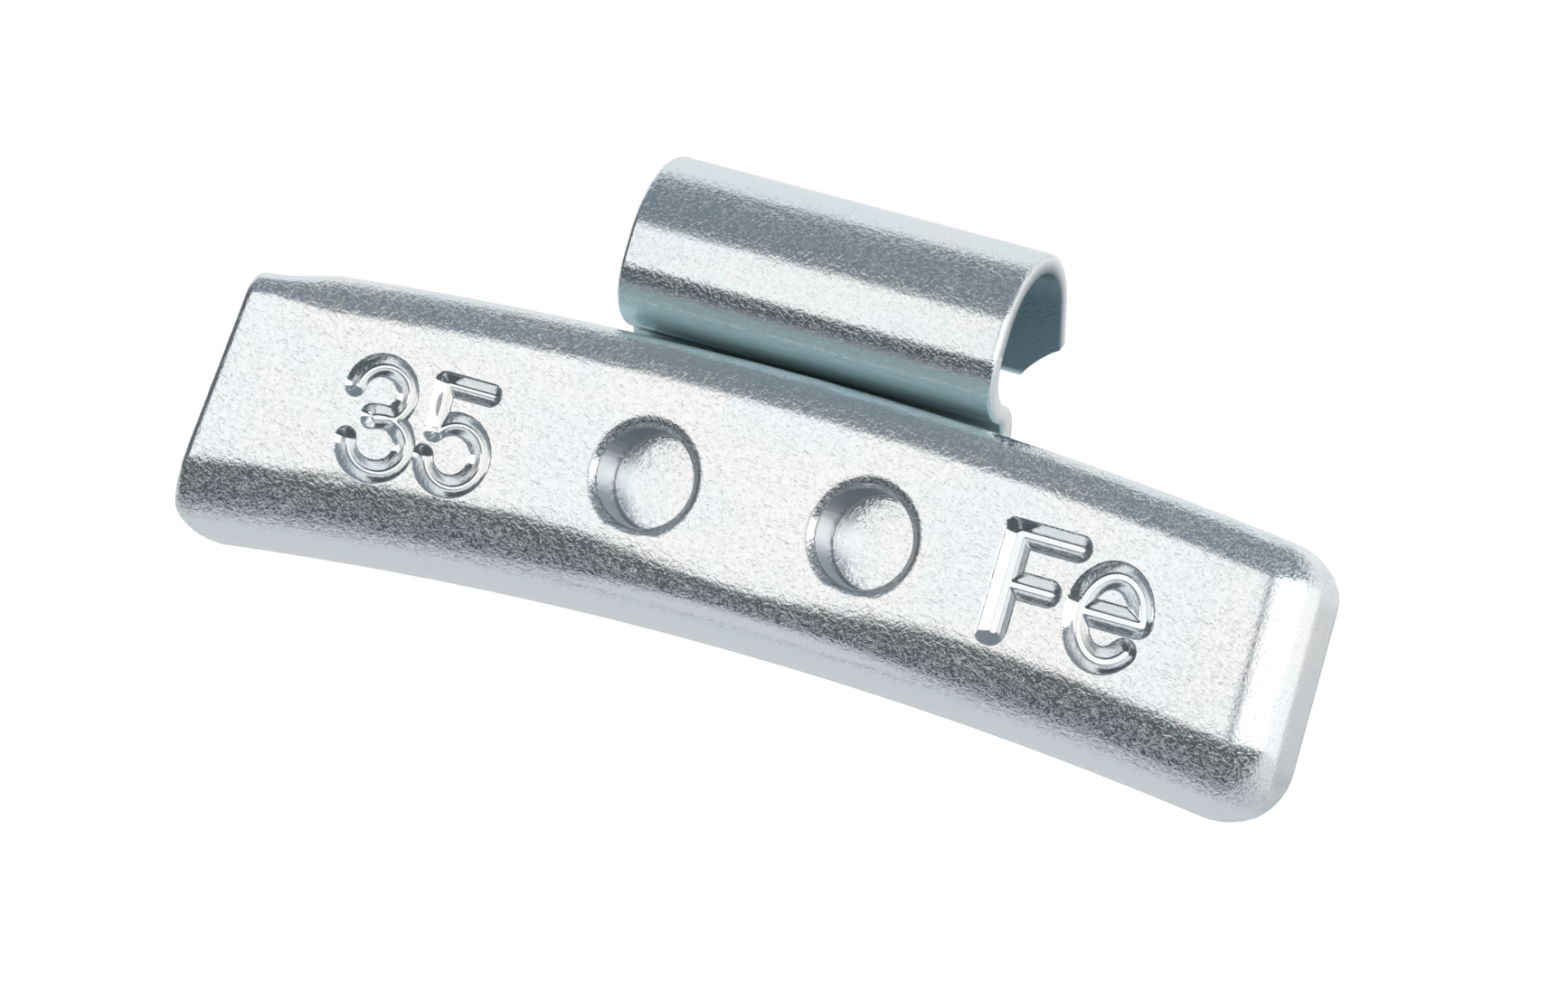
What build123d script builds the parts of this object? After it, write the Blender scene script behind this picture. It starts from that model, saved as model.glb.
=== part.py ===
from build123d import *

# A clip-on balance weight for a car wheel: a curved steel bar with a spring clip riveted to its back.
#
# +X runs along the bar, +Y points from the bar's front to the wheel, and +Z points away from the axle.
# The origin is the axis of the hook, where the round lip of the rim sits, halfway along the clip.

import os
from math import cos, degrees, radians, sin, sqrt, tan

# Driving dimensions, in millimetres and degrees

# Spring clip, one folded strip
strip_thickness = 1.0
clip_width = 20.2
hook_radius = 3.5
back_leg_splay = 38.0
back_leg_length = 4.5
front_wall_height = 1.2
toe_bend_radius = 2.15
shelf_length = 0.45
heel_bend_radius = 0.9
leg_end_gap = 1.75
leg_corner_radius = 2.0
tip_corner_cut = 2.0
tip_corner_hollow = 0.14
strip_edge_radius = 0.3

# Bar
bar_length = 57.9
bar_height = 13.9
bar_thickness = 5.25
bar_arc_radius = 223.0
top_front_radius = 2.6
top_front_turn = 60.0
bottom_flat = 0.3
bottom_back_chamfer = 0.7
shelf_clearance = 0.25

# Ends of the bar: both lean outwards towards the bottom. The left one keeps its sheared front edge,
# and the shear has pressed the top edge down there and squeezed its rounding
right_end_lean = 0.9
left_end_lean = 5.2
right_end_radius = 2.5
left_end_radius = 0.35
left_lower_corner_radius = 1.7
right_lower_corner_radius = 3.2
right_upper_corner_radius = 2.7
left_top_radius = 1.3
left_top_drop = 0.35
left_squeeze_length = 2.6

# Rivets, pushed out of the bar by a round punch and headed over the clip, a little right of its middle
rivet_spacing = 11.8
rivet_offset = 0.35
punch_radius = 2.5
punch_depth = 3.0
punch_mouth_chamfer = 0.28
punch_dish_depth = 0.2
rivet_radius = 2.3
rivet_hole_clearance = 0.05
rivet_head_overhang = 0.9
rivet_head_rim = 0.4
rivet_head_crown = 0.4

# Places and sizes that follow from those above

strip_half = strip_thickness / 2
hook_middle = hook_radius + strip_half
toe_middle = toe_bend_radius + strip_half
heel_middle = heel_bend_radius + strip_half

toe_y = toe_middle - hook_middle
toe_z = -front_wall_height
heel_y = toe_y + shelf_length
heel_z = toe_z - toe_middle - heel_middle

bar_back_y = heel_y + heel_bend_radius
bar_front_y = bar_back_y - bar_thickness
bar_top_z = toe_z - toe_middle - strip_half - shelf_clearance
bar_bottom_z = bar_top_z - bar_height
bar_middle_z = (bar_top_z + bar_bottom_z) / 2
bottom_front_radius = bar_thickness - bottom_back_chamfer - bottom_flat
# Turned all the way round, the upper rounding would come out above the flat top by this much
top_crown = top_front_radius * (1 - sin(radians(top_front_turn)))
# The upper back edge is cut back clear of the clip's heel bend, which reaches round it
top_back_chamfer = heel_bend_radius + shelf_clearance
# The rounding of the right end can't pass the rounding of the edge that it runs into
right_end_round = min(right_end_radius, 0.95 * top_front_radius)
# The squeezed stretch stops short of the leaning left end, clear of its rounding all the way up
left_end_tilt = radians(left_end_lean) + bar_length / 2 / bar_arc_radius
left_squeeze_end = bar_length / 2 - bar_height / 2 * tan(left_end_tilt) - 3 * left_end_radius
left_squeeze_start = left_squeeze_end - left_squeeze_length

leg_back_y = bar_back_y + strip_thickness
leg_end_z = bar_bottom_z + leg_end_gap
rivet_head_radius = rivet_radius + rivet_head_overhang

axle = Axis((0, 0, bar_middle_z - bar_arc_radius), (0, 1, 0))
rivet_places = [Pos(rivet_offset + side * rivet_spacing / 2, 0, bar_middle_z) for side in (-1, 1)]


def face_of(*lines):
    """Flat face inside a closed chain of lines and arcs."""
    return make_face([edge for line in lines for edge in line.edges()])


def bar_section(along, top_radius, top_turn, top_drop=0):
    """Cross-section of the bar: rounded front edges and chamfers at the back.

    along is its place, as a length along the bar's middle from mid-length to the right.
    The upper rounding turns through top_turn degrees, and short of 90 it meets the flat top at a crease.
    """
    top_z = bar_top_z - top_drop
    top_center = (bar_front_y + top_radius, top_z - top_radius * sin(radians(top_turn)))
    bottom_center = (bar_front_y + bottom_front_radius, bar_bottom_z + bottom_front_radius)
    top_round = CenterArc(top_center, top_radius, 180 - top_turn, top_turn)
    bottom_round = CenterArc(bottom_center, bottom_front_radius, 180, 90)
    front = Line(top_round @ 1, bottom_round @ 0)
    back = Polyline(
        bottom_round @ 1,
        (bar_back_y - bottom_back_chamfer, bar_bottom_z),
        (bar_back_y, bar_bottom_z + bottom_back_chamfer),
        (bar_back_y, bar_top_z - top_back_chamfer),
        (bar_back_y - top_back_chamfer + top_drop, top_z),
        top_round @ 0,
    )
    section = Plane.YZ * face_of(top_round, front, bottom_round, back)
    return section.rotate(axle, degrees(along / bar_arc_radius))


def bent_stretch(start, end, top_radius, top_turn, top_drop=0):
    """A stretch of the bar with one section all along, bent about the wheel's axle."""
    turn = degrees((end - start) / bar_arc_radius)
    return revolve(bar_section(start, top_radius, top_turn, top_drop), axis=axle, revolution_arc=turn)


def top_waste():
    """What flattening the top takes away, as a ring about the wheel's axle that reaches past both ends."""
    section = Pos((bar_front_y + bar_back_y) / 2, bar_top_z + top_front_radius) * Rectangle(
        2 * bar_thickness, 2 * top_front_radius
    )
    turn = degrees(bar_length / bar_arc_radius)
    return revolve((Plane.YZ * section).rotate(axle, -turn), axis=axle, revolution_arc=2 * turn)


def cross_plane(along):
    """Plane across the bar that faces right, at a place along it."""
    turn = along / bar_arc_radius
    return Plane(origin=axle.position, x_dir=(0, 1, 0), z_dir=(cos(turn), 0, -sin(turn)))


def end_plane(side, lean):
    """Plane of one sheared end, facing outwards. side is 1 on the right and -1 on the left."""
    return Plane(
        origin=(side * bar_length / 2, 0, bar_middle_z),
        x_dir=(0, side, 0),
        z_dir=(side * cos(radians(lean)), 0, sin(radians(lean))),
    )


def front_edges_of_end(bar, side):
    """Edges of one end face that run round the top, the front and the bottom, but not the back."""
    end_face = bar.faces().sort_by(Axis.X)[-1 if side > 0 else 0]
    back_reach = bar_back_y - bottom_back_chamfer / 2
    return end_face.edges().filter_by(lambda edge: max(v.Y for v in edge.vertices()) < back_reach)


def corner_waste(side, lean, level, radius):
    """What rounding a corner of the bar takes away, as a block that reaches past both faces.

    side is 1 for the right end and -1 for the left, and level is 1 for the upper corner and -1 for the lower.
    """
    end = end_plane(side, lean)
    # The rounding's centre lies one radius inside the end and one radius inside the bar's long edge
    center_arc = bar_arc_radius + level * (bar_height / 2 - radius)
    start = end.origin - radius * end.z_dir - axle.position
    rise = start.dot(end.y_dir)
    center = axle.position + start + (sqrt(rise**2 - start.length**2 + center_arc**2) - rise) * end.y_dir
    past_end = end.z_dir
    past_edge = level * (center - axle.position).normalized()

    rounding = ThreePointArc(
        center + radius * past_end,
        center + radius * (past_end + past_edge).normalized(),
        center + radius * past_edge,
    )
    far = 2 * radius
    outside = Polyline(
        rounding @ 1,
        center + far * past_edge,
        center + far * (past_end + past_edge),
        center + far * past_end,
        rounding @ 0,
    )
    return extrude(face_of(rounding, outside), amount=2 * bar_thickness, dir=(0, 1, 0), both=True)


def curved_bar():
    """The bar bent about the wheel's axle: a long plain stretch, the squeezed one and the sheared end."""
    plain = bent_stretch(-left_squeeze_start, bar_length, top_front_radius, 90, -top_crown)
    plain = split(plain, bisect_by=end_plane(1, right_end_lean), keep=Keep.BOTTOM)
    plain = fillet(front_edges_of_end(plain, 1), right_end_round) - top_waste()
    squeezed = loft(
        [
            bar_section(-left_squeeze_start, top_front_radius, top_front_turn),
            bar_section(-left_squeeze_end, left_top_radius, 90, left_top_drop),
        ],
        ruled=True,
    )
    sheared = bent_stretch(-bar_length, 0, left_top_radius, 90, left_top_drop)
    sheared = split(sheared, bisect_by=end_plane(-1, left_end_lean), keep=Keep.BOTTOM)
    sheared = fillet(front_edges_of_end(sheared, -1), left_end_radius)
    sheared = split(sheared, bisect_by=cross_plane(-left_squeeze_end), keep=Keep.BOTTOM)
    bar = plain + squeezed + sheared
    bar = bar - corner_waste(-1, left_end_lean, -1, left_lower_corner_radius)
    bar = bar - corner_waste(1, right_end_lean, -1, right_lower_corner_radius)
    return bar - corner_waste(1, right_end_lean, 1, right_upper_corner_radius)


def punch_mark(place):
    """One recess as a solid: a chamfered mouth at the bar's front, a straight wall and a dished floor."""
    wall_end = bar_front_y + punch_depth
    above = bar_front_y - bar_thickness
    floor_middle = (0, wall_end + punch_dish_depth)
    floor_edge = (punch_radius, wall_end)
    floor = TangentArc(floor_middle, floor_edge, tangent=(1, 0))
    sides = Polyline(
        floor_middle,
        (0, above),
        (punch_radius + punch_mouth_chamfer, above),
        (punch_radius + punch_mouth_chamfer, bar_front_y),
        (punch_radius, bar_front_y + punch_mouth_chamfer),
        floor_edge,
    )
    return place * revolve(face_of(sides, floor), axis=Axis.Y)


def rivet(place):
    """One boss through the clip's leg, with a low crowned head that holds the leg against the bar."""
    root = (0, bar_back_y - strip_thickness)
    head_edge = (rivet_head_radius, leg_back_y + rivet_head_rim)
    head_top = (0, leg_back_y + rivet_head_rim + rivet_head_crown)
    crown = TangentArc(head_top, head_edge, tangent=(1, 0))
    sides = Polyline(
        head_top,
        root,
        (rivet_radius, bar_back_y - strip_thickness),
        (rivet_radius, leg_back_y),
        (rivet_head_radius, leg_back_y),
        head_edge,
    )
    return place * revolve(face_of(sides, crown), axis=Axis.Y)


def weight_body():
    """The bar with its recesses in front and its rivets behind."""
    body = curved_bar()
    for place in rivet_places:
        body = body - punch_mark(place) + rivet(place)
    return body


def strip_side(side):
    """One face of the folded strip, from the tip of the back leg to the end of the flat leg.

    side is 1 for the face on the outside of the hook and -1 for the face on its inside.
    """
    splay = radians(back_leg_splay)
    hook = CenterArc((0, 0), hook_middle + side * strip_half, back_leg_splay, 180 - back_leg_splay)
    toe = CenterArc((toe_y, toe_z), toe_middle + side * strip_half, 180, 90)
    heel = CenterArc((heel_y, heel_z), heel_middle - side * strip_half, 90, -90)
    tip = hook @ 0 + back_leg_length * Vector(sin(splay), -cos(splay))
    leg_end = Vector((heel @ 1).X, leg_end_z)
    return [
        Line(tip, hook @ 0),
        hook,
        Line(hook @ 1, toe @ 0),
        toe,
        Line(toe @ 1, heel @ 0),
        heel,
        Line(heel @ 1, leg_end),
    ]


def folded_strip():
    """The strip folded into a leg, a shelf over the bar, and a hook."""
    outside = strip_side(1)
    inside = strip_side(-1)
    tip_edge = Line(outside[0] @ 0, inside[0] @ 0)
    leg_edge = Line(outside[-1] @ 1, inside[-1] @ 1)
    section = Plane.YZ * face_of(*outside, *inside, tip_edge, leg_edge)
    return extrude(section, amount=clip_width / 2, both=True)


def tip_corner_waste(side):
    """What the hollow corner cut takes off the back leg, at one end of the clip."""
    splay = radians(back_leg_splay)
    down_leg = Vector(0, sin(splay), -cos(splay))
    out_of_leg = Vector(0, cos(splay), sin(splay))
    sideways = Vector(side, 0, 0)
    corner = hook_middle * out_of_leg + back_leg_length * down_leg + clip_width / 2 * sideways
    on_tip = corner - tip_corner_cut * sideways
    on_end = corner - tip_corner_cut * down_leg
    hollow = (on_tip + on_end) / 2 - tip_corner_hollow * (sideways + down_leg).normalized()
    cut = ThreePointArc(on_tip, hollow, on_end)
    outside = Polyline(
        on_end,
        on_end + tip_corner_cut * sideways,
        corner + tip_corner_cut * (sideways + down_leg),
        on_tip + tip_corner_cut * down_leg,
        on_tip,
    )
    return extrude(face_of(cut, outside), amount=strip_thickness, dir=out_of_leg, both=True)


def rivet_hole(place):
    """Hole in the clip's leg for one rivet."""
    leg_middle = Pos(0, bar_back_y + strip_half, 0)
    radius = rivet_radius + rivet_hole_clearance
    return place * leg_middle * Rot(90, 0, 0) * Cylinder(radius, 2 * strip_thickness)


def spring_clip():
    """The folded strip with its corner cuts, the rolled edges of its outer face and its rivet holes."""
    clip = folded_strip()
    clip = fillet(clip.edges().filter_by(Axis.Y).group_by(Axis.Z)[0], leg_corner_radius)
    for side in (-1, 1):
        clip = clip - tip_corner_waste(side)
    outer_hook_edges = clip.edges().filter_by(GeomType.CIRCLE).group_by(Axis.Z)[-1]
    clip = fillet(outer_hook_edges, strip_edge_radius)
    for place in rivet_places:
        clip = clip - rivet_hole(place)
    return clip


os.makedirs("parts", exist_ok=True)
export_step(weight_body(), "parts/weight_body.step")
export_step(spring_clip(), "parts/spring_clip.step")
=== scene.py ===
import logging
from contextlib import contextmanager
from dataclasses import dataclass
from enum import Enum
from functools import cached_property
from math import cos, hypot, inf, pi, radians, sin
from typing import Callable, Iterator

import bmesh
import bpy
from mathutils import Matrix, Vector

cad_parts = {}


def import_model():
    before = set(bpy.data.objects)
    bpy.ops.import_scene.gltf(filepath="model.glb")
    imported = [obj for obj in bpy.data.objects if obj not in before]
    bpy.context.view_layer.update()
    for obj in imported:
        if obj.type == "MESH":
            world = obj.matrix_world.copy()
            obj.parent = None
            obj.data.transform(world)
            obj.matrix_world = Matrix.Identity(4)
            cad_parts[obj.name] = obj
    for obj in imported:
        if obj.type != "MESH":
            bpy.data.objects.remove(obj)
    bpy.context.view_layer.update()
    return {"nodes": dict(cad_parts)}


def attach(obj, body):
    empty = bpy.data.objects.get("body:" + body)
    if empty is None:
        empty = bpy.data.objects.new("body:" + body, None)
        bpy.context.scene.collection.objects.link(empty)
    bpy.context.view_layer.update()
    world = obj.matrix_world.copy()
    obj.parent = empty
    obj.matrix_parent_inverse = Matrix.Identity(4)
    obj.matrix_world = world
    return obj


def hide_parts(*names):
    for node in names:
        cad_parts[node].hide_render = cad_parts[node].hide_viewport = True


# A clip-on balance weight: a stamped steel bar and the folded spring clip that is riveted to its back.
# Sizes are in millimetres, and become metres through MM where they reach Blender.

MM = 0.001
# In metres: points closer than WELD are one point, and SLACK is what a test of a place allows.
WELD = 1e-6
SLACK = 1e-5
ROOT = "root"

Socket = bpy.types.NodeSocket
Colour = tuple[float, float, float]
Triple = tuple[float, float, float]
Pair = tuple[float, float]
Segment = tuple[Pair, Pair, float]

# Where the punches struck the bar (X, Z), and so where its bosses pass through the clip.
RIVETS: tuple[Pair, ...] = ((-5.55, -11.55), (6.25, -11.55))

# Marks on the meshes that the finish reads: stamped grooves, drawn walls, and the clip's hollow side, where
# the finish paints shade.
PRESSED = "pressed"
DRAWN = "drawn"
HOLLOW_SHADE = "inside"

# Places of the mix node's sockets for colours, which come after those for numbers and vectors.
MIX_COLOURS = (6, 7)
MIX_RESULT = 2

log = logging.getLogger("scene")


class Element(Enum):
    """The elements of a mesh that an edit starts from."""

    POINT = "VERT"
    EDGE = "EDGE"
    FACE = "FACE"


def activate(obj: bpy.types.Object) -> None:
    """Makes one object the only selected and active one.

    Args:
        obj: the object that the next operator works on.
    """
    bpy.ops.object.select_all(action="DESELECT")
    obj.select_set(True)
    bpy.context.view_layer.objects.active = obj


@contextmanager
def edit_mode(obj: bpy.types.Object) -> Iterator[None]:
    """Edit mode on one object, with nothing selected at the start.

    Args:
        obj: the mesh object to edit.

    Returns:
        A context that goes back to object mode at its end.
    """
    activate(obj)
    bpy.ops.object.mode_set(mode="EDIT")
    bpy.ops.mesh.select_all(action="DESELECT")
    yield
    bpy.ops.object.mode_set(mode="OBJECT")


def pick(obj: bpy.types.Object, kind: Element, wanted: Callable[..., bool]) -> None:
    """Selects the elements of the mesh in edit mode that pass a test, and nothing else.

    Args:
        obj: the object in edit mode.
        kind: what is selected.
        wanted: test of one bmesh element.
    """
    bpy.ops.mesh.select_mode(type=kind.value)
    bpy.ops.mesh.select_all(action="DESELECT")
    mesh = bmesh.from_edit_mesh(obj.data)
    elements = {Element.POINT: mesh.verts, Element.EDGE: mesh.edges, Element.FACE: mesh.faces}[kind]
    found = [element for element in elements if wanted(element)]
    for element in found:
        element.select_set(True)
    bmesh.update_edit_mesh(obj.data)


def weld() -> None:
    """Joins the points of the mesh in edit mode that coincide, and turns its faces one way."""
    bpy.ops.mesh.select_all(action="SELECT")
    bpy.ops.mesh.remove_doubles(threshold=WELD)
    bpy.ops.mesh.normals_make_consistent(inside=False)


def mark_group(obj: bpy.types.Object, group: int, name: str) -> None:
    """Marks the points of a vertex group for the finish to read.

    Args:
        obj: the mesh object.
        group: index of the vertex group.
        name: name of the mark.
    """
    marks = obj.data.attributes.get(name) or obj.data.attributes.new(name, "FLOAT", "POINT")
    for vertex in obj.data.vertices:
        if any(member.group == group and member.weight > 0 for member in vertex.groups):
            marks.data[vertex.index].value = 1.0


def apply_modifier(obj: bpy.types.Object, kind: str, **settings: object) -> None:
    """Adds a modifier with its settings and applies it.

    Args:
        obj: the object that gets it.
        kind: the modifier's type, as Blender names it.
        settings: the values of its properties.
    """
    activate(obj)
    modifier = obj.modifiers.new(kind.lower(), kind)
    for name, value in settings.items():
        setattr(modifier, name, value)
    bpy.ops.object.modifier_apply(modifier=modifier.name)


def push(obj: bpy.types.Object, group: str, way: float) -> None:
    """Moves the points of a vertex group along Y, each by its own share of the way.

    Args:
        obj: the mesh object.
        group: name of the vertex group, whose weights are the shares.
        way: the whole way.
    """
    apply_modifier(obj, "DISPLACE", direction="Y", mid_level=0.0, strength=way * MM, vertex_group=group)


def lay_on(obj: bpy.types.Object, shape: bpy.types.Object, group: str = "") -> None:
    """Moves points to the nearest place on another shape.

    Args:
        obj: the mesh object.
        shape: the shape that its points are laid on.
        group: name of the vertex group that moves, or nothing for all points.
    """
    apply_modifier(obj, "SHRINKWRAP", target=shape, wrap_method="NEAREST_SURFACEPOINT", vertex_group=group)


@dataclass(frozen=True)
class Graph:
    """Short ways to add and join the nodes of one shader."""

    tree: bpy.types.NodeTree
    noise_roughness: float = 0.55

    def add(self, kind: str, **values: object) -> bpy.types.Node:
        """Adds a node.

        Args:
            kind: the node's type without its ShaderNode prefix.
            values: properties of the node by name, or input sockets by name with _ for a space.

        Returns:
            The new node.
        """
        node = self.tree.nodes.new("ShaderNode" + kind)
        for name, value in values.items():
            socket = node.inputs.get(name.replace("_", " "))
            if socket is None:
                setattr(node, name, value)
            else:
                socket.default_value = value
        return node

    def join(self, output: Socket, socket: Socket) -> None:
        """Links an output to an input."""
        self.tree.links.new(output, socket)

    def math(self, operation: str, first: float | Socket, second: float | Socket | None = None) -> Socket:
        """One sum on values or sockets.

        Args:
            operation: the operation of a math node.
            first: a number or an output socket.
            second: a number or an output socket, where the operation has two.

        Returns:
            The result's socket.
        """
        node = self.add("Math", operation=operation)
        for socket, value in zip(node.inputs, (first, second)):
            if isinstance(value, Socket):
                self.join(value, socket)
            elif value is not None:
                socket.default_value = value
        return node.outputs[0]

    def span(self, value: Socket, source: Pair, result: Pair = (0.0, 1.0)) -> Socket:
        """Maps a range of values to another one with smooth ends.

        Args:
            value: the socket to map.
            source: the range of values.
            result: what its two ends become, and all that lies beyond them.

        Returns:
            The result's socket.
        """
        node = self.add("MapRange", interpolation_type="SMOOTHSTEP")
        self.join(value, node.inputs["Value"])
        for name, number in zip(("From Min", "From Max", "To Min", "To Max"), (*source, *result)):
            node.inputs[name].default_value = number
        return node.outputs["Result"]

    def noise(self, vector: Socket, scale: Triple, detail: float = 2.0, distortion: float = 0.0) -> Socket:
        """Noise that can be stretched.

        Args:
            vector: coordinates in metres.
            scale: features per millimetre along each axis.
            detail: octaves.
            distortion: how far the features are bent.

        Returns:
            The value's socket, from 0 to 1.
        """
        mapping = self.add("Mapping", Scale=tuple(s / MM for s in scale))
        self.join(vector, mapping.inputs["Vector"])
        node = self.add(
            "TexNoise", Scale=1.0, Detail=detail, Roughness=self.noise_roughness, Distortion=distortion
        )
        self.join(mapping.outputs["Vector"], node.inputs["Vector"])
        return node.outputs["Fac"]

    def blend(self, factor: Socket, first: Colour | Socket, second: Colour | Socket) -> Socket:
        """Mixes two colours.

        Args:
            factor: 0 for the first and 1 for the second.
            first: linear RGB or an output socket.
            second: linear RGB or an output socket.

        Returns:
            The colour's socket.
        """
        node = self.add("Mix", data_type="RGBA")
        self.join(factor, node.inputs[0])
        for place, colour in zip(MIX_COLOURS, (first, second)):
            if isinstance(colour, Socket):
                self.join(colour, node.inputs[place])
            else:
                node.inputs[place].default_value = (*colour, 1.0)
        return node.outputs[MIX_RESULT]

    def mark(self, name: str) -> Socket:
        """The value of one of the mesh's own marks, or 0 where the mesh has none."""
        return self.add("Attribute", attribute_name=name).outputs["Fac"]

    def along(self, vector: Socket, axis: str) -> Socket:
        """One part of a vector.

        Args:
            vector: the vector's socket.
            axis: X, Y or Z.

        Returns:
            The number's socket.
        """
        split = self.add("SeparateXYZ")
        self.join(vector, split.inputs[0])
        return split.outputs[axis]


@dataclass(frozen=True)
class PlatedFinish:
    """Bright zinc over tumbled steel: faint tints, shallow dents and short pits, with painted shade: a
    darker colour on surfaces that face down and on the clip's hollow side.

    Depths are in millimetres, and scales in features per millimetre along each axis.
    """

    name: str
    cool: Colour
    warm: Colour
    dull: Colour
    # Painted shade: the colour of surfaces that face down, the colour of the clip's hollow side, and how far
    # both turn matt.
    painted_underside_shade: Colour
    painted_hollow_shade: Colour
    painted_shade_cover: float
    smooth: float
    rough: float
    dent_depth: float
    ripple_depth: float
    pit_depth: float
    nick_depth: float
    grain_depth: float
    edge_gain: float
    cloud_scale: Triple = (0.16, 0.16, 0.16)
    cloud_range: Pair = (0.38, 0.62)
    speck_scale: Triple = (4.0, 4.0, 4.0)
    speck_range: Pair = (0.45, 0.75)
    lobe_range: Pair = (0.3, 0.7)
    # How far a surface must face down for the painted underside shade to fade in.
    painted_underside_range: Pair = (-0.55, -0.3)
    pressed_lobe: float = 0.11
    pressed_calm: float = 0.85
    drawn_lobe: float = 0.33
    dent_scale: Triple = (0.45, 0.45, 0.45)
    ripple_scale: Triple = (1.7, 1.7, 1.4)
    grain_scale: Triple = (9.0, 9.0, 6.0)
    pit_scale: Triple = (4.0, 4.0, 1.7)
    pit_range: Pair = (0.57, 0.74)
    pit_turns: tuple[float, ...] = (-28.0, 24.0, 75.0)
    pit_lean: Pair = (0.3, 0.2)
    pit_bend: float = 0.7
    nick_fineness: float = 2.1
    rise_range: Pair = (0.1, 0.35)
    fall_range: Pair = (0.6, 0.85)

    def build(self) -> bpy.types.Material:
        """Makes the material on object coordinates.

        Returns:
            The finished material.
        """
        material = bpy.data.materials.new(self.name)
        material.use_nodes = True
        graph = Graph(material.node_tree)
        shader = material.node_tree.nodes["Principled BSDF"]
        place = graph.add("TexCoord").outputs["Object"]

        clouds = graph.noise(place, self.cloud_scale)
        specks = graph.noise(place, self.speck_scale)
        tint = graph.blend(graph.span(clouds, self.cloud_range), self.cool, self.warm)
        lustre = graph.blend(graph.span(specks, self.speck_range), tint, self.dull)
        # Painted shade: surfaces that face down take the darker underside colour in place of the plating's
        # tint.
        painted_underside = graph.span(self.level(graph), self.painted_underside_range, (1.0, 0.0))
        # Painted shade: the clip's hollow side takes a near-black teal in place of the plating's colour.
        inside = graph.mark(HOLLOW_SHADE)
        shaded_base = graph.blend(inside, graph.blend(painted_underside, lustre, self.painted_underside_shade), self.painted_hollow_shade)
        graph.join(shaded_base, shader.inputs["Base Color"])
        # Where shade is painted, the metal is partly turned matt so that the painted colour shows.
        painted_shade_share = graph.math("MULTIPLY", graph.math("MAXIMUM", painted_underside, inside), self.painted_shade_cover)
        graph.join(graph.math("SUBTRACT", 1.0, painted_shade_share), shader.inputs["Metallic"])

        drawn = graph.mark(DRAWN)
        worked = graph.math("MAXIMUM", graph.mark(PRESSED), drawn)
        loose = graph.math("SUBTRACT", 1.0, graph.math("MULTIPLY", worked, self.pressed_calm))
        lobe = graph.span(specks, self.lobe_range, (self.smooth, self.rough))
        lobe = graph.math("MULTIPLY", lobe, loose)
        lobe = graph.math("MAXIMUM", lobe, graph.math("MULTIPLY", drawn, self.drawn_lobe))
        graph.join(graph.math("MAXIMUM", lobe, self.pressed_lobe), shader.inputs["Roughness"])

        bump = graph.add("Bump", Strength=1.0, Distance=MM)
        height = graph.math("MULTIPLY", self.relief(graph, place), loose)
        graph.join(height, bump.inputs["Height"])
        graph.join(bump.outputs["Normal"], shader.inputs["Normal"])
        return material

    def level(self, graph: Graph) -> Socket:
        """How far the surface faces up (1) or down (-1)."""
        return graph.along(graph.add("NewGeometry").outputs["Normal"], "Z")

    def relief(self, graph: Graph, place: Socket) -> Socket:
        """Height of the tumbled surface: dents, ripples, grain, and pits that the long roundings deepen.

        Args:
            graph: the shader.
            place: coordinates in metres.

        Returns:
            The height in millimetres.
        """
        layers = (
            (self.dent_scale, self.dent_depth),
            (self.ripple_scale, self.ripple_depth),
            (self.grain_scale, self.grain_depth),
        )
        dents, ripples, grain = (
            graph.math("MULTIPLY", graph.noise(place, scale, 1.0), depth) for scale, depth in layers
        )
        pitted: float | Socket = 0.0
        for turn in self.pit_turns:
            for fineness, depth in ((1.0, self.pit_depth), (self.nick_fineness, self.nick_depth)):
                pit = graph.math("MULTIPLY", self.pits(graph, place, turn, fineness), depth)
                pitted = graph.math("ADD", pitted, pit)
        slant = graph.math("ABSOLUTE", self.level(graph))
        rise = graph.span(slant, self.rise_range, (1.0, 1.0 + self.edge_gain))
        fall = graph.span(slant, self.fall_range, (0.0, self.edge_gain))
        pitted = graph.math("MULTIPLY", pitted, graph.math("SUBTRACT", rise, fall))
        return graph.math("ADD", graph.math("SUBTRACT", dents, pitted), graph.math("ADD", ripples, grain))

    def pits(self, graph: Graph, place: Socket, turn: float, fineness: float) -> Socket:
        """Short narrow pits that lie one way.

        Args:
            graph: the shader.
            place: coordinates in metres.
            turn: how far the pits lean, in degrees.
            fineness: how many times smaller they are than the largest.

        Returns:
            The mask's socket: 0 beside the pits and 1 in their middle.
        """
        lean_x, lean_z = self.pit_lean
        tilt = graph.add("Mapping", Rotation=(lean_x, radians(turn), lean_z), Location=(turn, 0.0, 0.0))
        graph.join(place, tilt.inputs["Vector"])
        scale = tuple(fineness * side for side in self.pit_scale)
        streaks = graph.noise(tilt.outputs["Vector"], scale, 0.0, self.pit_bend)
        return graph.span(streaks, self.pit_range)


BAR_FINISH = PlatedFinish(
    name="bar_zinc",
    cool=(0.92, 0.955, 0.97),
    warm=(0.97, 0.965, 0.955),
    dull=(0.91, 0.94, 0.955),
    # Painted shade on the bar's downward faces: a greyer base colour that stays fully metallic.
    painted_underside_shade=(0.80, 0.84, 0.86),
    painted_hollow_shade=(0.80, 0.84, 0.86),
    painted_shade_cover=0.0,
    smooth=0.12,
    rough=0.2,
    dent_depth=0.03,
    ripple_depth=0.006,
    pit_depth=0.003,
    nick_depth=0.0026,
    grain_depth=0.0008,
    edge_gain=3.5,
)

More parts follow.
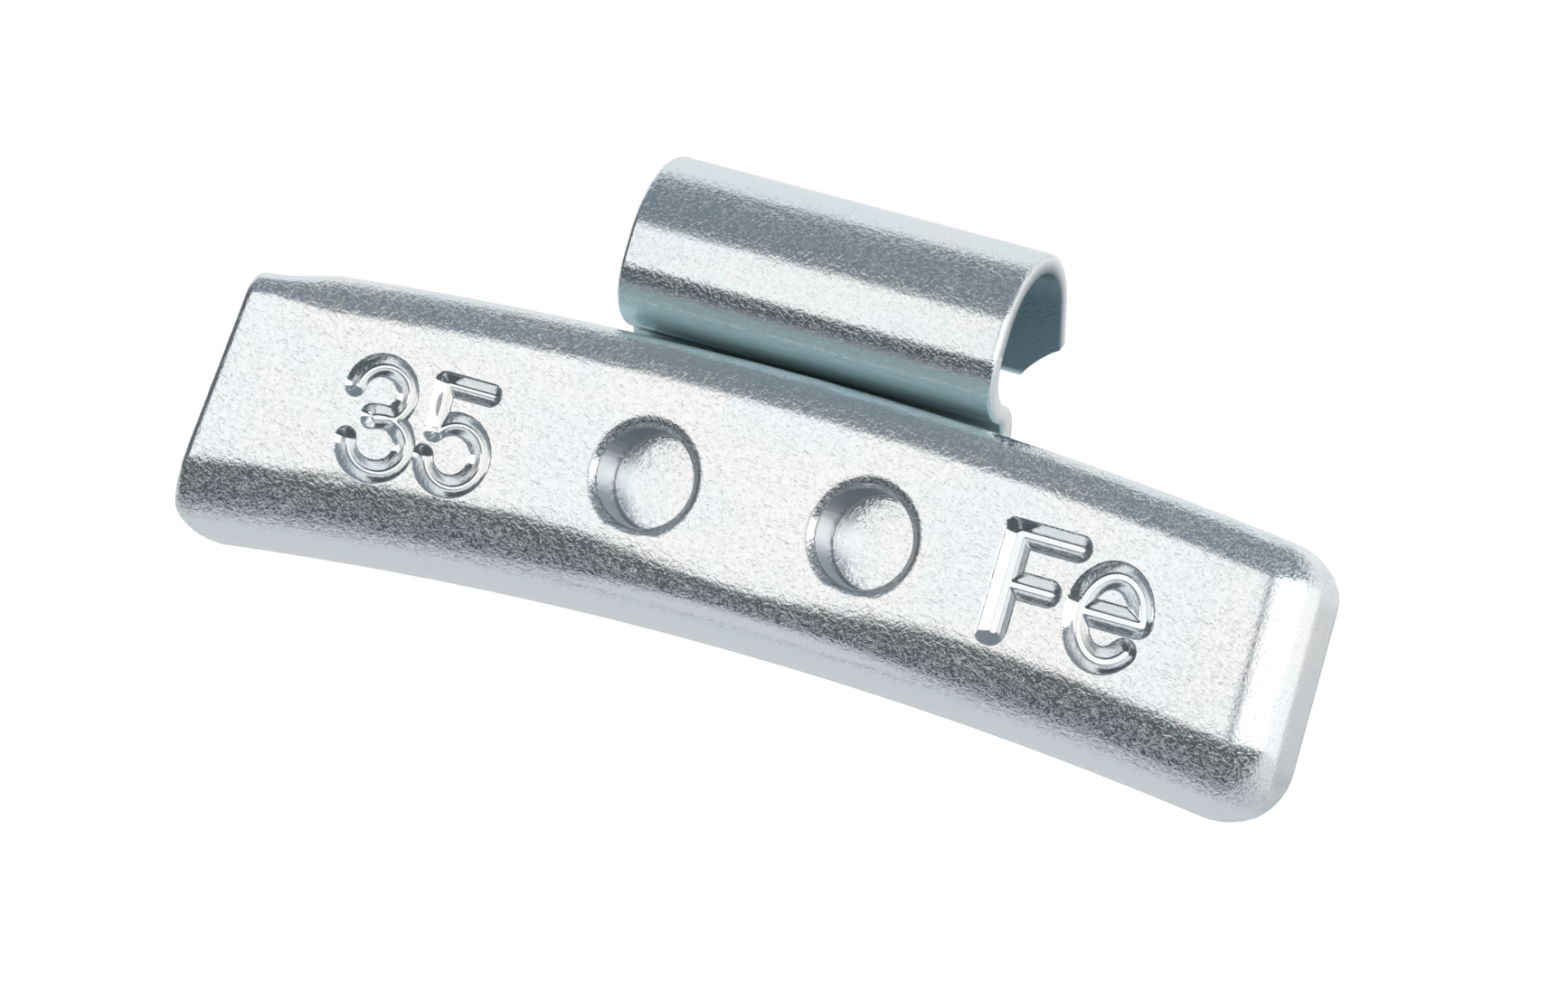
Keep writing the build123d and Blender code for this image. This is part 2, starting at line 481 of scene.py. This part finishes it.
CLIP_FINISH = PlatedFinish(
    name="clip_zinc",
    cool=(0.86, 0.91, 0.93),
    warm=(0.92, 0.93, 0.92),
    dull=(0.82, 0.87, 0.89),
    # Painted shade: teal-grey under the downward faces and near-black teal on the hook's hollow side, both
    # partly matt.
    painted_underside_shade=(0.52, 0.70, 0.73),
    painted_hollow_shade=(0.10, 0.17, 0.20),
    painted_shade_cover=0.4,
    smooth=0.08,
    rough=0.16,
    dent_depth=0.015,
    ripple_depth=0.004,
    pit_depth=0.002,
    nick_depth=0.0024,
    grain_depth=0.0008,
    edge_gain=3.0,
)


@dataclass(frozen=True)
class Line:
    """A straight stroke of a stamped character, between two points on the bar's front (X, Z)."""

    start: Pair
    end: Pair
    spread: float = 1.0

    def points(self) -> list[Pair]:
        """The two ends."""
        return [self.start, self.end]


@dataclass(frozen=True)
class Arc:
    """A bowed stroke of a stamped character, as a piece of an ellipse. Angles run from +X towards +Z."""

    center: Pair
    radii: Pair
    start: float
    end: float
    spread: float = 1.0
    steps: int = 60

    def points(self) -> list[Pair]:
        """Points along the stroke.

        Returns:
            The points, from its start to its end.
        """
        found = []
        for step in range(self.steps + 1):
            angle = radians(self.start + (self.end - self.start) * step / self.steps)
            x = self.center[0] + self.radii[0] * cos(angle)
            z = self.center[1] + self.radii[1] * sin(angle)
            found.append((x, z))
        return found


@dataclass(frozen=True)
class Stamp:
    """One stamped sign: its strokes and the groove they leave."""

    strokes: tuple[Line | Arc, ...]
    half_width: float
    floor_half_width: float
    depth: float

    @cached_property
    def segments(self) -> list[Segment]:
        """All strokes as short straight pieces.

        Returns:
            Two points and the spread of each piece.
        """
        pieces = []
        for stroke in self.strokes:
            points = stroke.points()
            pieces += [(a, b, stroke.spread) for a, b in zip(points, points[1:])]
        return pieces

    @cached_property
    def box(self) -> tuple[float, float, float, float]:
        """Smallest and largest X, then smallest and largest Z, of the sign.

        Returns:
            The four numbers.
        """
        points = [point for stroke in self.strokes for point in stroke.points()]
        xs, zs = zip(*points)
        reach = self.half_width
        return min(xs) - reach, max(xs) + reach, min(zs) - reach, max(zs) + reach

    def distance(self, x: float, z: float) -> float:
        """Distance from a point to the nearest stroke, less by the spread of a wide one.

        Args:
            x: the point's X.
            z: the point's Z.

        Returns:
            The distance.
        """
        best = inf
        for (ax, az), (bx, bz), spread in self.segments:
            dx, dz = bx - ax, bz - az
            t = max(0.0, min(1.0, ((x - ax) * dx + (z - az) * dz) / (dx * dx + dz * dz)))
            best = min(best, hypot(x - ax - t * dx, z - az - t * dz) / spread)
        return best

    def covers(self, x: float, z: float, margin: float) -> bool:
        """Whether a point lies on the sign, or close to it.

        Args:
            x: the point's X.
            z: the point's Z.
            margin: how far beside a stroke it may lie.

        Returns:
            The answer.
        """
        x0, x1, z0, z1 = self.box
        if not (x0 - margin < x < x1 + margin and z0 - margin < z < z1 + margin):
            return False
        return self.distance(x, z) < self.half_width + margin


@dataclass
class WeightBar:
    """The curved bar with its recesses, rivets and stamped signs."""

    cad: bpy.types.Object
    front_y: float = -5.25
    front_reach: float = 0.2
    voxel: float = 0.22
    smoothing: float = 0.5
    recess_radius: float = 2.5
    recess_depth: float = 3.0
    recess_back: float = -1.5
    floor_ease: float = 0.3
    wall_band: float = 0.2
    wall_start: float = 0.4
    mouth_start: float = 2.78
    mouth_end: float = 3.2
    mouth_drop: float = 0.13
    mouth_lean: float = 0.4
    fill_x: float = 1.0
    fill_half: float = 14.0
    fill_top: float = -14.1
    fill_reach: float = 1.25
    fill_power: float = 1.2
    grams: Stamp = Stamp(
        strokes=(
            Arc((-20.05, -11.0), (1.42, 1.38), 178.0, -48.0),
            Line((-19.1, -12.03), (-20.2, -12.28)),
            Arc((-19.65, -13.5), (1.58, 1.4), 112.0, -176.0),
            Line((-14.4, -9.68), (-16.9, -9.68)),
            Line((-16.9, -9.68), (-16.78, -11.85)),
            Arc((-15.55, -13.05), (1.52, 1.57), 142.0, -166.0),
        ),
        half_width=0.56,
        floor_half_width=0.1,
        depth=0.52,
    )
    metal: Stamp = Stamp(
        strokes=(
            Line((13.85, -9.35), (13.85, -14.1), 1.25),
            Line((13.9, -9.25), (17.1, -9.25)),
            Line((13.9, -11.75), (16.2, -11.75)),
            Line((17.9, -12.05), (20.95, -12.05)),
            Arc((19.45, -12.1), (1.62, 2.1), 2.0, 318.0),
        ),
        half_width=0.67,
        floor_half_width=0.17,
        depth=0.565,
    )

    def build(self) -> bpy.types.Object:
        """Makes the bar from an even mesh over the CAD shape, works it as the punches did, and stamps it.

        Returns:
            The bar.
        """
        bar = bpy.data.objects.new("stamped_bar", self.cad.data.copy())
        bpy.context.scene.collection.objects.link(bar)
        bar.data.materials.clear()
        with edit_mode(bar):
            weld()
        shape = bar.copy()
        shape.data = bar.data.copy()
        bpy.context.scene.collection.objects.link(shape)
        apply_modifier(bar, "REMESH", mode="VOXEL", voxel_size=self.voxel * MM, use_smooth_shade=True)
        lay_on(bar, shape)
        apply_modifier(bar, "SMOOTH", factor=self.smoothing, iterations=1)
        self.sharpen_recesses(bar, shape)
        bpy.data.objects.remove(shape)
        self.ease_floors(bar)
        self.roll_mouths(bar)
        self.square_edge(bar)
        self.polish_walls(bar)
        for stamp in (self.grams, self.metal):
            self.press(bar, stamp)
        activate(bar)
        bpy.ops.object.shade_smooth()
        bar.data.materials.append(BAR_FINISH.build())
        return bar

    def aside(self, co: Vector) -> float:
        """How far a point is from the axis of the nearer recess."""
        return min(hypot(co.x / MM - x, co.z / MM - z) for x, z in RIVETS)

    def at_recess(self, co: Vector, reach: float) -> bool:
        """Whether a point lies within a reach of a recess's axis, in front of the bar's back."""
        return co.y < self.recess_back * MM and self.aside(co) < reach

    def sharpen_recesses(self, bar: bpy.types.Object, shape: bpy.types.Object) -> None:
        """Gives the recesses and their mouths a finer mesh, laid on the CAD shape again.

        Args:
            bar: the bar.
            shape: the CAD shape.
        """
        with edit_mode(bar):
            pick(bar, Element.FACE, lambda f: self.at_recess(f.calc_center_median(), self.mouth_end))
            bpy.ops.mesh.subdivide(number_cuts=1)
        fine = bar.vertex_groups.new(name="fine")
        found = [v.index for v in bar.data.vertices if self.at_recess(v.co, self.mouth_end)]
        fine.add(found, 1.0, "REPLACE")
        lay_on(bar, shape, "fine")
        bar.vertex_groups.clear()

    def ease_floors(self, bar: bpy.types.Object) -> None:
        """Makes the dished floors of the two recesses flatter.

        Args:
            bar: the bar.
        """
        floor = (self.front_y + self.recess_depth) * MM
        with edit_mode(bar):
            pick(bar, Element.POINT, lambda v: v.co.y > floor and self.at_recess(v.co, self.recess_radius))
            bpy.ops.transform.resize(value=(1.0, self.floor_ease, 1.0), center_override=(0.0, floor, 0.0))

    def roll_mouths(self, bar: bpy.types.Object) -> None:
        """Lets the front sink towards the mouths of the recesses, as the punches drew it in.

        Args:
            bar: the bar.
        """
        drawn = bar.vertex_groups.new(name="drawn")
        for vertex in bar.data.vertices:
            near = (self.mouth_end - self.aside(vertex.co)) / (self.mouth_end - self.mouth_start)
            if near > 0 and vertex.co.y / MM - self.front_y < self.recess_depth / 2:
                x = vertex.co.x / MM
                from_axis = min((x - place[0] for place in RIVETS), key=abs)
                side = max(-1.0, min(1.0, from_axis / self.mouth_start))
                share = 1 - self.mouth_lean + self.mouth_lean * side
                drawn.add([vertex.index], share * min(1.0, near) ** 2, "REPLACE")
        push(bar, "drawn", self.mouth_drop)
        bar.vertex_groups.clear()

    def square_edge(self, bar: bpy.types.Object) -> None:
        """Fills out the start of the lower rounding near the bar's middle, where the punches squared it.

        Args:
            bar: the bar.
        """
        fill = bar.vertex_groups.new(name="fill")
        for vertex in bar.data.vertices:
            x, y, z = vertex.co / MM
            beside = (x - self.fill_x) / self.fill_half
            behind = (y - self.front_y) / self.fill_reach
            if abs(beside) < 1 and 0 < behind < 1 and z < self.fill_top:
                share = cos(beside * pi / 2) ** 2 * behind * (1 - behind**self.fill_power)
                fill.add([vertex.index], share, "REPLACE")
        push(bar, "fill", -self.fill_reach)
        bar.vertex_groups.clear()

    def polish_walls(self, bar: bpy.types.Object) -> None:
        """Marks the drawn walls of the recesses, which are smooth.

        Args:
            bar: the bar.
        """
        walls = bar.vertex_groups.new(name="walls")
        for vertex in bar.data.vertices:
            off_wall = abs(self.aside(vertex.co) - self.recess_radius)
            behind = vertex.co.y / MM - self.front_y
            if off_wall < self.wall_band and self.wall_start < behind < self.recess_back - self.front_y:
                walls.add([vertex.index], 1.0, "REPLACE")
        mark_group(bar, walls.index, DRAWN)
        bar.vertex_groups.clear()

    def under(self, co: Vector, stamp: Stamp, margin: float = 0.0) -> bool:
        """Whether a point lies on the front, under a sign.

        Args:
            co: the point, in metres.
            stamp: the sign.
            margin: how far beside a stroke it may lie.

        Returns:
            The answer.
        """
        x, y, z = co / MM
        return abs(y - self.front_y) <= self.front_reach and stamp.covers(x, z, margin)

    def press(self, bar: bpy.types.Object, stamp: Stamp) -> None:
        """Presses one sign into the front: a finer mesh along its strokes, then the groove.

        Args:
            bar: the bar.
            stamp: the sign.
        """
        with edit_mode(bar):
            for margin in (self.voxel, self.voxel / 2):
                pick(bar, Element.FACE, lambda f: self.under(f.calc_center_median(), stamp, margin))
                bpy.ops.mesh.subdivide(number_cuts=1)

        groove = bar.vertex_groups.new(name="groove")
        # The group itself can't be read any more once the modifier is applied.
        index = groove.index
        for vertex in bar.data.vertices:
            if self.under(vertex.co, stamp):
                away = stamp.distance(vertex.co.x / MM, vertex.co.z / MM)
                slope = (stamp.half_width - away) / (stamp.half_width - stamp.floor_half_width)
                groove.add([vertex.index], max(0.0, min(1.0, slope)), "REPLACE")
        push(bar, "groove", stamp.depth)
        mark_group(bar, index, PRESSED)
        bar.vertex_groups.clear()


@dataclass
class SpringClip:
    """The folded strip: back leg, hook, front wall, toe bend, shelf, heel bend and the riveted leg."""

    width: float = 20.2
    thickness: float = 1.0
    hook_middle: float = 4.0
    hook_steps: int = 48
    splay: float = 38.0
    back_leg: float = 4.5
    front_wall: float = 1.2
    toe_middle: float = 2.65
    shelf: float = 0.45
    heel_middle: float = 1.4
    bend_steps: int = 24
    leg_end_z: float = -16.75
    leg_corner: float = 2.0
    leg_corner_steps: int = 10
    tip_cut: float = 2.0
    tip_cut_steps: int = 8
    tip_cut_profile: float = 0.2
    round_profile: float = 0.5
    outer_edge: float = 0.28
    outer_edge_steps: int = 5
    inner_edge: float = 0.08
    inner_edge_steps: int = 2
    edge_angle: float = 60.0
    smooth_angle: float = 40.0
    inside_share: float = 0.4
    hole_radius: float = 2.35
    hole_steps: int = 64
    punch_length: float = 4.0

    def build(self) -> bpy.types.Object:
        """Folds the strip along its middle, thickens it, rolls its edges and cuts the rivet holes.

        Returns:
            The clip.
        """
        clip = self.sheet()
        self.corners(clip)
        outer = clip.vertex_groups.new(name="outer").index
        apply_modifier(
            clip,
            "SOLIDIFY",
            thickness=self.thickness * MM,
            offset=0.0,
            use_even_offset=True,
            shell_vertex_group="outer",
        )
        self.roll_edges(clip, outer)
        clip.vertex_groups.clear()
        for x, z in RIVETS:
            self.hole(clip, x, z)
        self.mark_hollow_shade(clip)
        activate(clip)
        bpy.ops.object.shade_smooth_by_angle(angle=radians(self.smooth_angle))
        clip.data.materials.append(CLIP_FINISH.build())
        return clip

    def sheet(self) -> bpy.types.Object:
        """The middle surface of the strip, from the tip of the back leg to the end of the riveted leg.

        Returns:
            An open sheet.
        """
        splay = radians(self.splay)
        up_leg = Vector((0.0, -sin(splay), cos(splay)))
        out = Vector((0.0, cos(splay), sin(splay)))
        middle = self.hook_middle * out - self.back_leg / 2 * up_leg
        bpy.ops.mesh.primitive_plane_add(size=1.0, location=middle * MM, rotation=(splay + pi / 2, 0.0, 0.0))
        clip = bpy.context.object
        clip.name = "folded_clip"
        clip.scale = (self.width * MM, self.back_leg * MM, 1.0)
        bpy.ops.object.transform_apply(location=True, rotation=True, scale=True)

        toe = (0.0, self.toe_middle - self.hook_middle, -self.front_wall)
        heel = (0.0, toe[1] + self.shelf, toe[2] - self.toe_middle - self.heel_middle)
        with edit_mode(clip):
            top = max(v.co.z for v in clip.data.vertices) - SLACK
            pick(clip, Element.EDGE, lambda edge: all(v.co.z > top for v in edge.verts))
            self.bend((0.0, 0.0, 0.0), 180.0 - self.splay, self.hook_steps)
            self.run((0.0, 0.0, -self.front_wall))
            self.bend(toe, 90.0, self.bend_steps)
            self.run((0.0, self.shelf, 0.0))
            self.bend(heel, -90.0, self.bend_steps)
            self.run((0.0, 0.0, self.leg_end_z - heel[2]))
            weld()
        return clip

    def bend(self, center: Triple, angle: float, steps: int) -> None:
        """Goes on from the selected edge round a bend.

        Args:
            center: a point on the bend's axis, which runs along X.
            angle: how far, in degrees, from +Y towards +Z.
            steps: faces along the bend.
        """
        bpy.ops.mesh.spin(
            steps=steps,
            angle=-radians(angle),
            center=tuple(c * MM for c in center),
            axis=(1.0, 0.0, 0.0),
        )

    def run(self, move: Triple) -> None:
        """Goes on from the selected edge in a straight line, by so much along each axis."""
        bpy.ops.mesh.extrude_region_move(TRANSFORM_OT_translate={"value": tuple(c * MM for c in move)})

    def corners(self, clip: bpy.types.Object) -> None:
        """Rounds the riveted leg's corners and cuts the back leg's corners with a slight hollow.

        Args:
            clip: the sheet.
        """
        half = self.width / 2 * MM - SLACK
        low = self.leg_end_z * MM + SLACK
        with edit_mode(clip):
            pick(clip, Element.POINT, lambda v: abs(v.co.x) > half and v.co.z < low)
            self.cut(self.leg_corner, self.leg_corner_steps, self.round_profile)
        back = max(v.co.y for v in clip.data.vertices) - SLACK
        with edit_mode(clip):
            pick(clip, Element.POINT, lambda v: abs(v.co.x) > half and v.co.y > back)
            self.cut(self.tip_cut, self.tip_cut_steps, self.tip_cut_profile)

    def cut(self, size: float, steps: int, profile: float) -> None:
        """Cuts the selected corners.

        Args:
            size: how far along both edges.
            steps: edges along each cut.
            profile: the cut's form: 0.5 is round, and less is hollow.
        """
        bpy.ops.mesh.bevel(affect="VERTICES", offset=size * MM, segments=steps, profile=profile)

    def roll_edges(self, clip: bpy.types.Object, outer: int) -> None:
        """Rolls the edges of the strip's outer face, and breaks those of its inner face.

        Args:
            clip: the thick strip.
            outer: index of the vertex group of the face on the outside of the hook.
        """
        rolls = (
            (self.outer_edge, self.outer_edge_steps, True),
            (self.inner_edge, self.inner_edge_steps, False),
        )
        for size, steps, outside in rolls:
            with edit_mode(clip):
                layer = bmesh.from_edit_mesh(clip.data).verts.layers.deform.verify()

                def wanted(edge: bmesh.types.BMEdge) -> bool:
                    """Whether an edge is a sharp one, round the border of that face."""
                    sharp = edge.is_manifold and edge.calc_face_angle() >= radians(self.edge_angle)
                    return sharp and all((outer in v[layer]) == outside for v in edge.verts)

                pick(clip, Element.EDGE, wanted)
                bpy.ops.mesh.bevel(
                    offset=size * MM, segments=steps, profile=self.round_profile, clamp_overlap=True
                )

    def hole(self, clip: bpy.types.Object, x: float, z: float) -> None:
        """Cuts one rivet hole through the leg.

        Args:
            clip: the clip.
            x: the hole's X.
            z: the hole's Z.
        """
        bpy.ops.mesh.primitive_cylinder_add(
            vertices=self.hole_steps,
            radius=self.hole_radius * MM,
            depth=self.punch_length * MM,
            location=(x * MM, self.thickness / 2 * MM, z * MM),
            rotation=(pi / 2, 0.0, 0.0),
        )
        punch = bpy.context.object
        apply_modifier(clip, "BOOLEAN", operation="DIFFERENCE", solver="EXACT", object=punch)
        bpy.data.objects.remove(punch)

    def mark_hollow_shade(self, clip: bpy.types.Object) -> None:
        """Marks the hollow side of the hook and of the back leg, which the finish paints with near-black
        teal shade.

        Args:
            clip: the clip.
        """
        splay = radians(self.splay)
        inner_face = self.hook_middle - self.inside_share * self.thickness
        hollow = clip.vertex_groups.new(name="hollow")
        for vertex in clip.data.vertices:
            _, y, z = vertex.co / MM
            from_axis = hypot(y, z) if z > 0 or y > 0 else -y
            along_splay = y * cos(splay) + z * sin(splay)
            if along_splay > 0 and z < self.hook_middle * sin(splay):
                from_axis = along_splay
            if from_axis < inner_face and z > -self.front_wall:
                hollow.add([vertex.index], 1.0, "REPLACE")
        mark_group(clip, hollow.index, HOLLOW_SHADE)
        clip.vertex_groups.clear()


@dataclass(frozen=True)
class Card:
    """A flat card of the studio: a corner, two sides and its light, which may fade along the second."""

    name: str
    corner: Triple
    side_a: Triple
    side_b: Triple
    colour: Colour
    far_colour: Colour | None = None

    def build(self) -> None:
        """Makes the card, which only reflections show."""
        bpy.ops.mesh.primitive_plane_add(size=1.0)
        card = bpy.context.object
        card.name = self.name
        corner, a, b = Vector(self.corner), Vector(self.side_a), Vector(self.side_b)
        for vertex in card.data.vertices:
            vertex.co = (corner + (vertex.co.x + 0.5) * a + (vertex.co.y + 0.5) * b) * MM
        material = bpy.data.materials.new(self.name)
        material.use_nodes = True
        material.node_tree.nodes.clear()
        graph = Graph(material.node_tree)
        glow = graph.add("Emission")
        across = graph.along(graph.add("TexCoord").outputs["UV"], "Y")
        light = graph.blend(across, self.colour, self.far_colour or self.colour)
        graph.join(light, glow.inputs["Color"])
        graph.join(glow.outputs[0], graph.add("OutputMaterial").inputs[0])
        card.data.materials.append(material)
        card.visible_camera = False
        card.visible_diffuse = False
        card.visible_shadow = False


WHITE = (1.0, 1.0, 1.0)
BOX_WHITE = (1.35, 1.35, 1.35)
BACK_WHITE = (0.78, 0.82, 0.84)
UPPER_GREY = (0.20, 0.235, 0.27)
LOWER_GREY = (0.09, 0.105, 0.115)
LEFT_GREY = (0.12, 0.13, 0.14)
STRIP_GREY = (0.32, 0.34, 0.37)
PALE_GREY = (0.68, 0.70, 0.72)
BACK_GREY = (0.40, 0.42, 0.44)


@dataclass
class Studio:
    """Pale floor, soft light, white surroundings, and the cards that the bright metal reflects."""

    floor_z: float = -60.0
    floor_half: float = 260.0
    floor_dark: Colour = (0.86, 0.86, 0.86)
    floor_light: Colour = (0.9, 0.9, 0.9)
    floor_cloud: Triple = (0.02, 0.02, 0.02)
    floor_rough: float = 0.9
    ambient: float = 0.6
    lamp_place: Triple = (150.0, -250.0, 450.0)
    lamp_size: float = 400.0
    lamp_power: float = 4.0
    cards: tuple[Card, ...] = (
        Card("upper_card", (-600, 4, 100), (1200, 0, 0), (0, -264, 0), UPPER_GREY),
        Card("upper_fade", (-600, -260, 100), (1200, 0, 0), (0, -160, 0), UPPER_GREY, WHITE),
        Card("lower_card", (-600, -13, -55), (1200, 0, 0), (0, -182.5, 0), LOWER_GREY),
        Card("lower_fade", (-600, -195.5, -55), (1200, 0, 0), (0, -75, 0), LOWER_GREY, WHITE),
        Card("left_card", (-300, -300, -55), (0, 400, 0), (0, 0, 155), LEFT_GREY),
        Card("strip_over", (10, -290, 15), (50, 0, 0), (0, 0, 85), STRIP_GREY, UPPER_GREY),
        Card("strip_under", (10, -290, 15), (50, 0, 0), (0, 0, -69), STRIP_GREY, LOWER_GREY),
        Card("right_box", (120, -260, -40), (140, 240, 0), (0, 0, 130), BOX_WHITE),
        Card("upper_back_card", (-500, 4, 100), (1000, 0, 0), (0, 300, 0), BACK_WHITE),
        Card("lower_back_card", (-500, -13, -55), (1000, 0, 0), (0, 153, 0), PALE_GREY),
        Card("lower_back_fade", (-500, 140, -55), (1000, 0, 0), (0, 160, 0), PALE_GREY, BACK_GREY),
        Card("back_card", (-300, 300, -55), (600, 0, 0), (0, 0, 155), BACK_GREY, WHITE),
    )

    def build(self) -> None:
        """Sets up everything round the object but the camera."""
        self.world()
        self.floor()
        self.key()
        for card in self.cards:
            card.build()
        log.info("studio: floor, key and %d cards", len(self.cards))

    def world(self) -> None:
        """White to the camera and in reflections, and a plain level for the rest."""
        world = bpy.data.worlds.new("studio")
        world.use_nodes = True
        world.node_tree.nodes.clear()
        graph = Graph(world.node_tree)
        path = graph.add("LightPath").outputs
        seen = graph.math("MAXIMUM", path["Is Camera Ray"], path["Is Glossy Ray"])
        seen = graph.math("MAXIMUM", seen, path["Is Transmission Ray"])
        mix = graph.add("MixShader")
        graph.join(seen, mix.inputs[0])
        for place, strength in ((1, self.ambient), (2, 1.0)):
            light = graph.add("Background", Color=(*WHITE, 1.0), Strength=strength)
            graph.join(light.outputs[0], mix.inputs[place])
        graph.join(mix.outputs[0], graph.add("OutputWorld").inputs[0])
        bpy.context.scene.world = world

    def floor(self) -> None:
        """A pale matt floor under the object."""
        bpy.ops.mesh.primitive_plane_add(size=2 * self.floor_half * MM)
        floor = bpy.context.object
        floor.name = "floor"
        floor.data.transform(Matrix.Translation((0.0, 0.0, self.floor_z * MM)))
        material = bpy.data.materials.new("floor")
        material.use_nodes = True
        graph = Graph(material.node_tree)
        shader = material.node_tree.nodes["Principled BSDF"]
        cloud = graph.noise(graph.add("TexCoord").outputs["Object"], self.floor_cloud)
        graph.join(graph.blend(cloud, self.floor_dark, self.floor_light), shader.inputs["Base Color"])
        shader.inputs["Roughness"].default_value = self.floor_rough
        floor.data.materials.append(material)

    def key(self) -> None:
        """A large soft lamp from above, for the floor and its shadow."""
        bpy.ops.object.light_add(type="AREA", location=tuple(c * MM for c in self.lamp_place))
        lamp = bpy.context.object
        lamp.name = "key"
        lamp.data.shape = "DISK"
        lamp.data.size = self.lamp_size * MM
        lamp.data.energy = self.lamp_power
        lamp.rotation_euler = (-lamp.location).to_track_quat("-Z", "Y").to_euler()
        lamp.visible_glossy = False
        lamp.visible_camera = False


@dataclass
class Viewpoint:
    """Where the object is seen from: angles in degrees, and the lens on its sensor."""

    azimuth: float = 19.909
    elevation: float = -1.678
    roll: float = 16.081
    distance: float = 500.0
    aim: Triple = (0.476, -1.789, -10.229)
    lens: float = 233.98
    sensor: float = 36.0

    def build(self) -> None:
        """Places the camera and makes it the scene's own."""
        az, el, roll = (radians(v) for v in (self.azimuth, self.elevation, self.roll))
        back = Vector((cos(el) * sin(az), -cos(el) * cos(az), sin(el)))
        level = Vector((cos(az), sin(az), 0.0))
        above = back.cross(level)
        right = cos(roll) * level + sin(roll) * above
        up = cos(roll) * above - sin(roll) * level
        data = bpy.data.cameras.new("camera")
        data.sensor_width = self.sensor
        data.sensor_fit = "HORIZONTAL"
        data.lens = self.lens
        camera = bpy.data.objects.new("camera", data)
        bpy.context.scene.collection.objects.link(camera)
        place = (Vector(self.aim) + self.distance * back) * MM
        turn = Matrix((right, up, back)).transposed().to_4x4()
        camera.matrix_world = Matrix.Translation(place) @ turn
        bpy.context.scene.camera = camera


def keep(piece: bpy.types.Object, node: str) -> None:
    """Declares a piece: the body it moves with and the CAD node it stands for.

    Args:
        piece: the new object.
        node: name of the CAD node.
    """
    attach(piece, ROOT)
    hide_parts(node)
    log.info("%s: %d faces, for %s", piece.name, len(piece.data.polygons), node)


def main() -> None:
    """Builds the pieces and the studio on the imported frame."""
    logging.basicConfig(level=logging.INFO, format="%(name)s %(message)s")
    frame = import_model()
    scene = bpy.context.scene
    scene.view_settings.view_transform = "Standard"
    bpy.ops.object.select_all(action="DESELECT")
    keep(WeightBar(frame["nodes"]["weight_body"]).build(), "weight_body")
    keep(SpringClip().build(), "spring_clip")
    Studio().build()
    Viewpoint().build()


if __name__ == "__main__":
    main()
